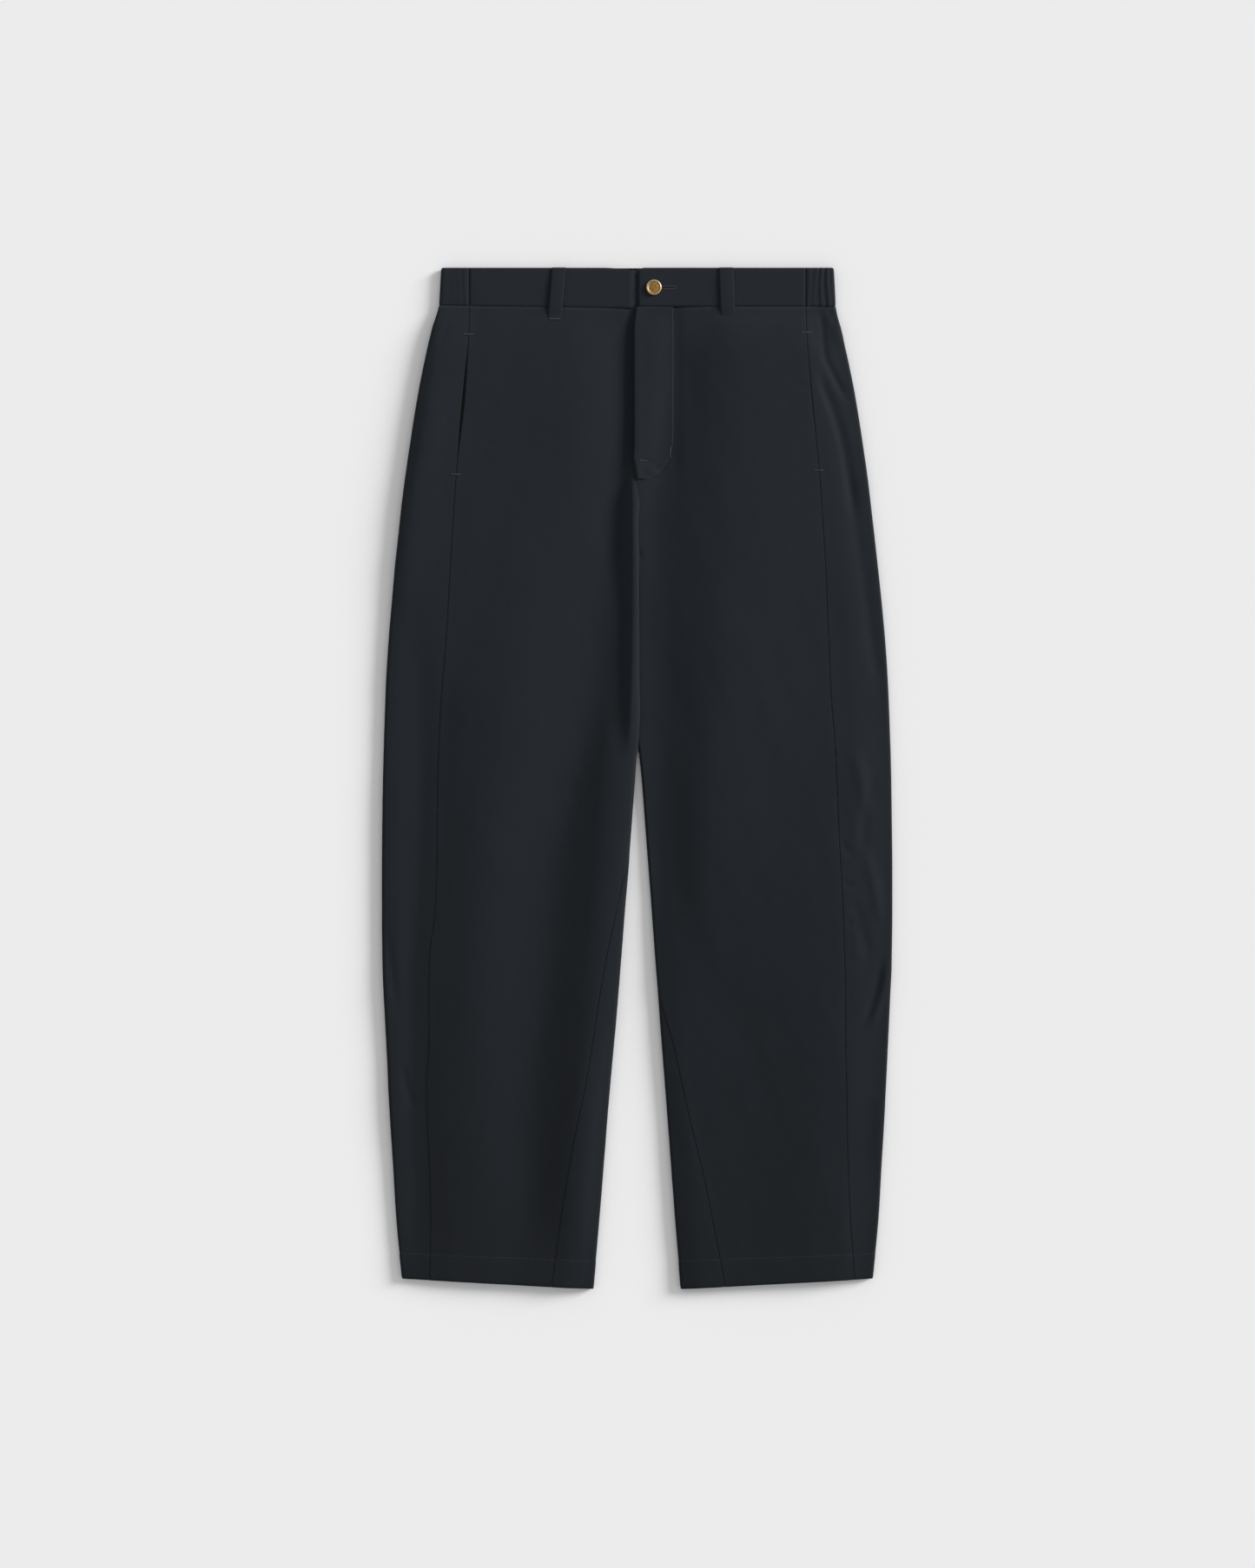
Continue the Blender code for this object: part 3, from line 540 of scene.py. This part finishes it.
def band_rounding(down, ends):
    """How far a band's face falls away at its turned edges, and how it rises over what is inside."""
    from_edge = np.minimum(np.minimum(down, WAISTBAND - down), ends)
    return -0.9 * np.exp(-(from_edge / 0.55) ** 2) - 0.25 * np.exp(-(from_edge / 2.2) ** 2)


def band_piece(name, node_name, across, down, top, slit=0.0):
    """A flat stretch of waistband on the front face, from grids of places and of its top's height."""
    ends = np.minimum(np.abs(across - across[:, :1]), np.abs(across - across[:, -1:]))
    rise = band_rounding(down, ends) + 0.5 * unevenness(across, down, 5) - slit
    level = down + slant(-1, np.maximum(0, -across), down) * (across < 0)
    outer = np.stack([across * MM, TOP - level * MM, (top + rise) * MM], axis=-1)
    inner = np.stack([across * MM, TOP - level * MM, (top - BAND_CLOTH) * MM + 0 * level], axis=-1)
    piece = shell(name, outer, inner)
    grain_map(piece, down + 0 * across, across)
    dress(piece, node_name)
    return piece


# The buttonhole is a slit from the button's shank outwards, in closer rows and columns of the left end
HOLE_START, HOLE_END, HOLE_DOWN = 17.0, 36.8, 20.2
hole_rows = HOLE_DOWN + np.array([-1.6, -0.9, -0.55, -0.3, 0, 0.3, 0.55, 0.9, 1.6])
down = np.union1d(band_rows[np.abs(band_rows - HOLE_DOWN) > 1.7], hole_rows).reshape(-1, 1)
rounding = BAND_CORNER - np.sqrt(BAND_CORNER ** 2 - np.clip(BAND_CORNER - down, 0, None) ** 2)
share = np.concatenate([np.linspace(0, 0.012, 5), np.linspace(0.02, 0.985, 80), [0.993, 1.0]])
share = np.union1d(share, (np.linspace(HOLE_START, HOLE_END + 1, 30) - BAND_END) / BAND_SEAM_OUT)
across = BAND_END + rounding + (BAND_SEAM_OUT - HALF_GAP - BAND_END - rounding) * share
slit = 1.25 * np.exp(-((down - HOLE_DOWN) / 0.36) ** 2) * eased((across - HOLE_START) / 2) * (
    eased((HOLE_END + 0.6 - across) / 1.2))
lips = 0.22 * np.exp(-((np.abs(down - HOLE_DOWN) - 1.2) / 0.6) ** 2)
slit = slit - lips * eased((HOLE_END + 2.4 - across) / 2)
left_band = band_piece("waistband_left_front_piece", "waistband_left_front", across, down + 0 * across,
                       BAND_TOP, slit)

share = np.concatenate([[0, 0.004], np.linspace(0.01, 0.6, 50), np.linspace(0.61, 1, 60)])
across = -BAND_SEAM_OUT + HALF_GAP + (UNDERLAP_END + BAND_SEAM_OUT - HALF_GAP) * share + 0 * down
sunk = 0.2 * eased((across + 70) / 60) + 0.8 * eased((across + 8) / 7)
top = BAND_TOP - sunk * (BAND_CLOTH + LAP_GAP)
dip = UNDERLAP_DIP * eased(1 + across / 33) * (1 - down / WAISTBAND)
right_band = band_piece("waistband_right_front_piece", "waistband_right_front", across, down + dip, top)

halves = []
for side in (1, -1):
    leg = tube(side, band_rows, BAND_ROLL)
    seam = leg.inner_top + BAND_SEAM_OUT + HALF_GAP - leg.front
    strip = seam + (leg.outer_low - seam) * np.concatenate([[0, 0.006, 0.015], np.linspace(0.025, 1, 130)])
    under = leg.outer_low + (leg.total - leg.outer_low) * np.linspace(0, 1, 14)[1:]
    s = np.concatenate([strip, under], axis=1)
    phase = 2 * math.pi * (s - seam) / GATHER_PITCH + 0.9 * np.sin(leg.down / 9 + s / 6) + 0.5 * side
    pleat = GATHER_HEIGHT[side] * (1 + 0.6 * np.sin(s / 5 + side)) * (1 - np.cos(phase)) / 1.4
    pleat = pleat * eased((s - seam) / 3)
    rise = band_rounding(leg.down, s - seam) + pleat
    outer = place(leg, s, rise, folded=False)
    inner = place(leg, s, -BAND_CLOTH + 0.6 * np.where(s < leg.outer_low, pleat, 0), folded=False)
    halves.append((outer, inner, s) if side > 0 else (outer[:, ::-1], inner[:, ::-1], -s[:, ::-1]))
outer, inner, s = (np.concatenate([halves[0][k], halves[1][k]], axis=1) for k in range(3))
back_band = shell("waistband_back_piece", outer, inner)
grain_map(back_band, band_rows.reshape(-1, 1) + 0 * s, s)
dress(back_band, "waistband_back")

# Belt loops: straps of folded twill, caught at the waist edge and below the band by bar tacks
LOOP_CLOTH = 1.4
LOOP_SEAT = 6.95
LOOP_SPRING = 0.55
# Shares of the way down a loop, and its underside's height there when it is sprung up in full
LOOP_RISES = np.array([(0, 7.1), (0.1, 7.3), (0.25, 8.1), (0.5, 8.4), (0.7, 8.2), (0.8, 7.5), (0.9, 6.6),
                       (1, 6.3)])
# Across at the top and the end, width, and how far down it ends
LOOPS = {"left": (88.8, 90.9, 14.5, 53.0), "right": (-78.7, -83.2, 13.7, 54.0)}


def loop_underside(run):
    """Height of a belt loop's underside at shares of the way down it, where it lies pressed near the band."""
    return LOOP_SEAT + LOOP_SPRING * (along_rows(LOOP_RISES, 1, run) - LOOP_SEAT)


for name, (top_across, end_across, width, end) in LOOPS.items():
    run = np.linspace(0, 1, 60).reshape(-1, 1)
    half = np.concatenate([[-1, -0.97, -0.9], np.linspace(-0.8, 0.8, 13), [0.9, 0.97, 1]])
    across = top_across + (end_across - top_across) * run + half * width / 2
    under = loop_underside(run)
    from_edge = np.minimum((1 - np.abs(half)) * width / 2, np.minimum(run, 1 - run) * end)
    rise = LOOP_CLOTH - 0.7 * np.exp(-(from_edge / 0.5) ** 2) + 0.12 * np.cos(half * math.pi)
    y = TOP - end * run * MM + 0 * across
    loop = shell(f"belt_loop_{name}_piece", np.stack([across * MM, y, (under + rise) * MM], axis=-1),
                 np.stack([across * MM, y, under * MM + 0 * across], axis=-1))
    grain_map(loop, across, end * run + 0 * across)
    dress(loop, f"belt_loop_{name}")

# The button: a one-piece shank button of cast brass, tumbled and antiqued, with a dished face and a round
# rim. Its patina is brown in the dish, and its rim is worn to pale metal
BUTTON_RADIUS = 7.6
BUTTON_BASE = 7.1
BUTTON_ACROSS, BUTTON_DOWN = 16.5, 20.0
BUTTON_TURN = 72
BUTTON_PROFILE = np.array([
    (2.0, -0.5), (2.0, 0.0), (4.6, -0.02), (6.3, 0.02), (7.05, 0.28), (7.45, 0.75), (7.6, 1.3), (7.5, 1.8),
    (7.25, 2.15), (6.85, 2.37), (6.45, 2.38), (6.1, 2.2), (5.85, 1.95), (5.6, 1.76), (5.3, 1.7), (4.4, 1.76),
    (3.2, 1.86), (2.0, 1.93), (1.0, 1.96)])
angles = np.linspace(0, 2 * math.pi, BUTTON_TURN, endpoint=False)
rings = np.stack([BUTTON_PROFILE[:, :1] * np.cos(angles) + BUTTON_ACROSS,
                  -BUTTON_PROFILE[:, :1] * np.sin(angles) - BUTTON_DOWN,
                  BUTTON_PROFILE[:, 1:] + 0 * angles + BUTTON_BASE], axis=-1)
points = (rings.reshape(-1, 3) * MM + [0, TOP, 0]).tolist()
button_faces = []
for k in range(len(BUTTON_PROFILE) - 1):
    for j in range(BUTTON_TURN):
        near, far = k * BUTTON_TURN + j, k * BUTTON_TURN + (j + 1) % BUTTON_TURN
        button_faces.append((near, near + BUTTON_TURN, far + BUTTON_TURN, far))
button_faces.append(tuple(range(BUTTON_TURN)))
last_ring = (len(BUTTON_PROFILE) - 1) * BUTTON_TURN
button_faces.append(tuple(range(last_ring + BUTTON_TURN - 1, last_ring - 1, -1)))
button_mesh = bpy.data.meshes.new("button_piece")
button_mesh.from_pydata(points, [], button_faces)
button_mesh.shade_smooth()
button = bpy.data.objects.new("button_piece", button_mesh)
bpy.context.scene.collection.objects.link(button)
brass, tree, shader = blank_material("antique_brass")
place_on = node(tree, "ShaderNodeTexCoord").outputs["Object"]
centred = node(tree, "ShaderNodeVectorMath", {"operation": "SUBTRACT"}, i0=place_on,
               i1=(BUTTON_ACROSS * MM, TOP - BUTTON_DOWN * MM, 0.0)).outputs[0]
flat = node(tree, "ShaderNodeVectorMath", {"operation": "MULTIPLY"}, i0=centred,
            i1=(1.0, 1.0, 0.0)).outputs[0]
radius = node(tree, "ShaderNodeVectorMath", {"operation": "LENGTH"}, i0=flat).outputs["Value"]
# Tumbling leaves dents half a millimetre across, and the patina gathers in spots of 2 mm
dents = node(tree, "ShaderNodeTexNoise", Vector=place_on, Scale=1800.0, Detail=2.0).outputs[0]
spots = node(tree, "ShaderNodeTexNoise", Vector=place_on, Scale=420.0, Detail=4.0, Roughness=0.65).outputs[0]
lit = node(tree, "ShaderNodeMapRange", Value=spots, From_Min=0.35, From_Max=0.68).outputs[0]
patina = node(tree, "ShaderNodeMix", {"data_type": "RGBA"}, i0=lit, i6=srgb("#7d6233"),
              i7=srgb("#b8905e")).outputs[2]
worn = node(tree, "ShaderNodeMapRange", {"interpolation_type": "SMOOTHSTEP"}, Value=radius, From_Min=0.0064,
            From_Max=0.0071).outputs[0]
metal = node(tree, "ShaderNodeMix", {"data_type": "RGBA"}, i0=worn, i6=patina, i7=srgb("#d6c3a0")).outputs[2]
tree.links.new(metal, shader.inputs["Base Color"])
tree.links.new(node(tree, "ShaderNodeBump", Strength=0.3, Distance=0.00012, Height=dents).outputs[0],
               shader.inputs["Normal"])
tree.links.new(node(tree, "ShaderNodeMapRange", Value=spots, To_Min=0.42, To_Max=0.6).outputs[0],
               shader.inputs["Roughness"])
shader.inputs["Metallic"].default_value = 1.0
button_mesh.materials.append(brass)
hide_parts("button")
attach(button, "root")

# The sewing: spun polyester thread in a navy near the cloth's. Lockstitches run along the fly and hems, and
# bar tacks and the buttonhole's edge are threads laid side by side across their line
thread, tree, shader = blank_material("polyester_thread")
place_on = node(tree, "ShaderNodeTexCoord").outputs["Object"]
# The plies of real thread twist once in 0.6 mm, and are drawn 1.4 mm apart
twist = node(tree, "ShaderNodeTexWave", {"wave_type": "BANDS", "bands_direction": "DIAGONAL"},
             Vector=place_on, Scale=260.0).outputs["Fac"]
ply = node(tree, "ShaderNodeMapRange", Value=twist, From_Min=0.2, From_Max=0.8).outputs[0]
dyed = node(tree, "ShaderNodeMix", {"data_type": "RGBA"}, i0=ply, i6=srgb("#171b1f"),
            i7=srgb("#262b31")).outputs[2]
tree.links.new(dyed, shader.inputs["Base Color"])
tree.links.new(node(tree, "ShaderNodeBump", Strength=0.4, Distance=0.0001, Height=twist).outputs[0],
               shader.inputs["Normal"])
shader.inputs["Roughness"].default_value = 0.6
shader.inputs["Sheen Weight"].default_value = 0.1

stitches = bpy.data.node_groups.new("stitches", "GeometryNodeTree")
stitches.interface.new_socket(name="Line", in_out="INPUT", socket_type="NodeSocketGeometry")
for socket_name in ("Pitch", "Length", "Thickness", "Turn", "Unevenness"):
    stitches.interface.new_socket(name=socket_name, in_out="INPUT", socket_type="NodeSocketFloat")
stitches.interface.new_socket(name="Thread", in_out="INPUT", socket_type="NodeSocketMaterial")
stitches.interface.new_socket(name="Stitches", in_out="OUTPUT", socket_type="NodeSocketGeometry")
given = stitches.nodes.new("NodeGroupInput").outputs
line = node(stitches, "GeometryNodeMeshToCurve", Mesh=given["Line"]).outputs[0]
along = node(stitches, "GeometryNodeCurveToPoints", {"mode": "LENGTH"}, Curve=line,
             Length=given["Pitch"]).outputs
wobble = node(stitches, "FunctionNodeRandomValue", {"data_type": "FLOAT"}, i2=-1.0, i3=1.0, Seed=4).outputs[1]
turned = node(stitches, "ShaderNodeMath", {"operation": "MULTIPLY_ADD"}, i0=wobble, i1=given["Unevenness"],
              i2=given["Turn"]).outputs[0]
heading = node(stitches, "FunctionNodeAlignRotationToVector", {"axis": "X", "pivot_axis": "Z"},
               Vector=along["Tangent"]).outputs[0]
turn_by = node(stitches, "FunctionNodeEulerToRotation",
               i0=node(stitches, "ShaderNodeCombineXYZ", Z=turned).outputs[0]).outputs[0]
heading = node(stitches, "FunctionNodeRotateRotation", {"rotation_space": "LOCAL"}, i0=heading,
               i1=turn_by).outputs[0]
half_length = node(stitches, "ShaderNodeMath", {"operation": "MULTIPLY"}, i0=given["Length"],
                   i1=0.5).outputs[0]
half_thick = node(stitches, "ShaderNodeMath", {"operation": "MULTIPLY"}, i0=given["Thickness"],
                  i1=0.5).outputs[0]
size = node(stitches, "ShaderNodeCombineXYZ", X=half_length, Y=half_thick, Z=half_thick).outputs[0]
bead = node(stitches, "GeometryNodeMeshUVSphere", Segments=6, Rings=5, Radius=1.0).outputs[0]
sewn = node(stitches, "GeometryNodeInstanceOnPoints", Points=along["Points"], Instance=bead, Rotation=heading,
            Scale=size).outputs[0]
real = node(stitches, "GeometryNodeRealizeInstances", Geometry=sewn).outputs[0]
finished = node(stitches, "GeometryNodeSetMaterial", Geometry=real, Material=given["Thread"]).outputs[0]
stitches.links.new(finished, stitches.nodes.new("NodeGroupOutput").inputs["Stitches"])


def sew(name, lines, pitch, length, thickness, turn=0.0, unevenness_by=0.05):
    """Stitches along lines of points in metres, as one plain mesh that rides on the garment."""
    points, edges = [], []
    for line in lines:
        line = np.asarray(line, float).reshape(-1, 3)
        edges += [(len(points) + k, len(points) + k + 1) for k in range(len(line) - 1)]
        points += line.tolist()
    mesh = bpy.data.meshes.new(name)
    mesh.from_pydata(points, edges, [])
    piece = bpy.data.objects.new(name, mesh)
    bpy.context.scene.collection.objects.link(piece)
    modifier = piece.modifiers.new("stitches", "NODES")
    modifier.node_group = stitches
    values = {"Pitch": pitch * MM, "Length": length * MM, "Thickness": thickness * MM, "Turn": turn,
              "Unevenness": unevenness_by, "Thread": thread}
    for socket in stitches.interface.items_tree:
        if socket.name in values:
            modifier[socket.identifier] = values[socket.name]
    evaluated = piece.evaluated_get(bpy.context.evaluated_depsgraph_get())
    made = bpy.data.meshes.new_from_object(evaluated)
    piece.modifiers.remove(modifier)
    piece.data = made
    made.name = name
    made.shade_smooth()
    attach(piece, "root")


def on_leg(side, across, down, lift):
    """A line over a leg's front face, from places across and down in millimetres."""
    leg = tube(side, down)
    s = leg.inner_top + np.asarray(across, float).reshape(-1, 1) - leg.front
    return place(leg, s, lift)


LOCKSTITCH = {"pitch": 3.1, "length": 2.5, "thickness": 0.42}
TACK = {"pitch": 0.55, "length": 2.0, "thickness": 0.5, "turn": math.radians(84), "unevenness_by": 0.12}
down = np.concatenate([np.linspace(WAISTBAND + 1, FLY_CURVE, 60)[:-1],
                       FLY_CURVE + (FLY_END - FLY_CURVE) * np.sin(np.linspace(0, 1.45, 30))])
sew("fly_stitching", [on_leg(1, fly_edge(down) - 1.0, down, FLY_DIP + FLY_PROUD)], **LOCKSTITCH)
hems = []
for side in (1, -1):
    leg = tube(side, [HEM - HEM_TURN])
    s = np.linspace(leg.inner_top + 1, leg.outer_top - 0.5, 160).reshape(1, -1)
    hems.append(place(leg, s, -0.12))
sew("hem_stitching", hems, **LOCKSTITCH)
# The fly's two tacks: across at both ends, down at both ends, and how far each stands out
FLY_TACKS = (([3.0, 9.5], [193.4, 193.8], FLY_DIP + FLY_LAP_PROUD * 0.5), ([33.0, 32.8], [180, 190], 1.15))
POCKET_TACKS = ((-1, 67.5), (-1, 207.5), (1, 65.5), (1, 203.5))  # side and how far down
POCKET_TACK_HALF = 4.5
LOOP_TACK_INSET, LOOP_TACK_UP = 1.6, 2.6  # from the loop's sides, and from its end
THREAD_PROUD = 0.12
tacks = [on_leg(1, *tack) for tack in FLY_TACKS]
for side, at_down in POCKET_TACKS:
    middle = along_rows(SECTIONS, 3 if side > 0 else 4, at_down)
    tacks.append(on_leg(side, [middle - POCKET_TACK_HALF, middle + POCKET_TACK_HALF], [at_down, at_down],
                        THREAD_PROUD))
for _, end_across, width, end in LOOPS.values():
    height = loop_underside(np.array([1 - LOOP_TACK_UP / end]))[0] + LOOP_CLOTH
    reach = width / 2 - LOOP_TACK_INSET
    tacks.append([((end_across + x) * MM, TOP - (end - LOOP_TACK_UP) * MM, height * MM)
                  for x in (-reach, reach)])
sew("bar_tacks", tacks, **TACK)
HOLE_LIP = 1.15  # from the slit to the middle of the stitches on either side
lip_height = (BAND_TOP + THREAD_PROUD) * MM
edges_of_hole = []
for sign in (-1, 1):
    edges_of_hole.append([(x * MM, TOP - (HOLE_DOWN + sign * HOLE_LIP) * MM, lip_height)
                          for x in np.linspace(BUTTON_ACROSS + BUTTON_RADIUS - 1, HOLE_END, 40)])
bend = np.linspace(-math.pi / 2, math.pi / 2, 12)
edges_of_hole.append([((HOLE_END + HOLE_LIP * math.cos(t)) * MM,
                       TOP - (HOLE_DOWN + HOLE_LIP * math.sin(t)) * MM, lip_height) for t in bend])
sew("buttonhole_edge", edges_of_hole, pitch=0.5, length=1.5, thickness=0.42, turn=math.radians(90))

# The floor: one pale matte sweep that the trousers lie on
floor_mesh = bpy.data.meshes.new("floor")
floor_mesh.from_pydata([(-4, -4, 0), (4, -4, 0), (4, 4, 0), (-4, 4, 0)], [], [(0, 1, 2, 3)])
floor = bpy.data.objects.new("floor", floor_mesh)
bpy.context.scene.collection.objects.link(floor)
floor.location.z = -0.0002
paper, _, paper_shader = blank_material("matte_paper")
paper_shader.inputs["Base Color"].default_value = srgb("#e6e6e6")
paper_shader.inputs["Roughness"].default_value = 0.9
paper_shader.inputs["Specular IOR Level"].default_value = 0.1
floor_mesh.materials.append(paper)

# Light: a broad soft key from the right and a little above, and an even pale surround
key = bpy.data.objects.new("key", bpy.data.lights.new("key", "SUN"))
key.data.energy = 4.3
key.data.angle = math.radians(22)
key.rotation_euler = (0, math.radians(90 - 19), math.radians(25))
bpy.context.scene.collection.objects.link(key)
world = bpy.data.worlds.new("surround")
bpy.context.scene.world = world
world.use_nodes = True
surround = world.node_tree.nodes["Background"]
surround.inputs["Color"].default_value = srgb("#ffffff")
surround.inputs["Strength"].default_value = 0.61
bpy.context.scene.view_settings.view_transform = "Standard"

# Camera: straight above, framed as in the photograph, 0.87 mm to its pixel
PIXEL = 0.87 * MM
IMAGE = (1445, 1806)
CENTRE_X_PX = 733.95
WAIST_Y_PX = 308.3
FACE_HEIGHT = 0.006  # the scale holds at the front face
camera = bpy.data.objects.new("camera", bpy.data.cameras.new("camera"))
bpy.context.scene.collection.objects.link(camera)
bpy.context.scene.camera = camera
camera_height = 3.2
camera.location = ((IMAGE[0] / 2 - CENTRE_X_PX) * PIXEL, TOP - (IMAGE[1] / 2 - WAIST_Y_PX) * PIXEL,
                   camera_height)
camera.data.sensor_fit = "VERTICAL"
camera.data.sensor_height = 36
camera.data.lens = 36 * (camera_height - FACE_HEIGHT) / (IMAGE[1] * PIXEL)
camera.data.clip_end = 20
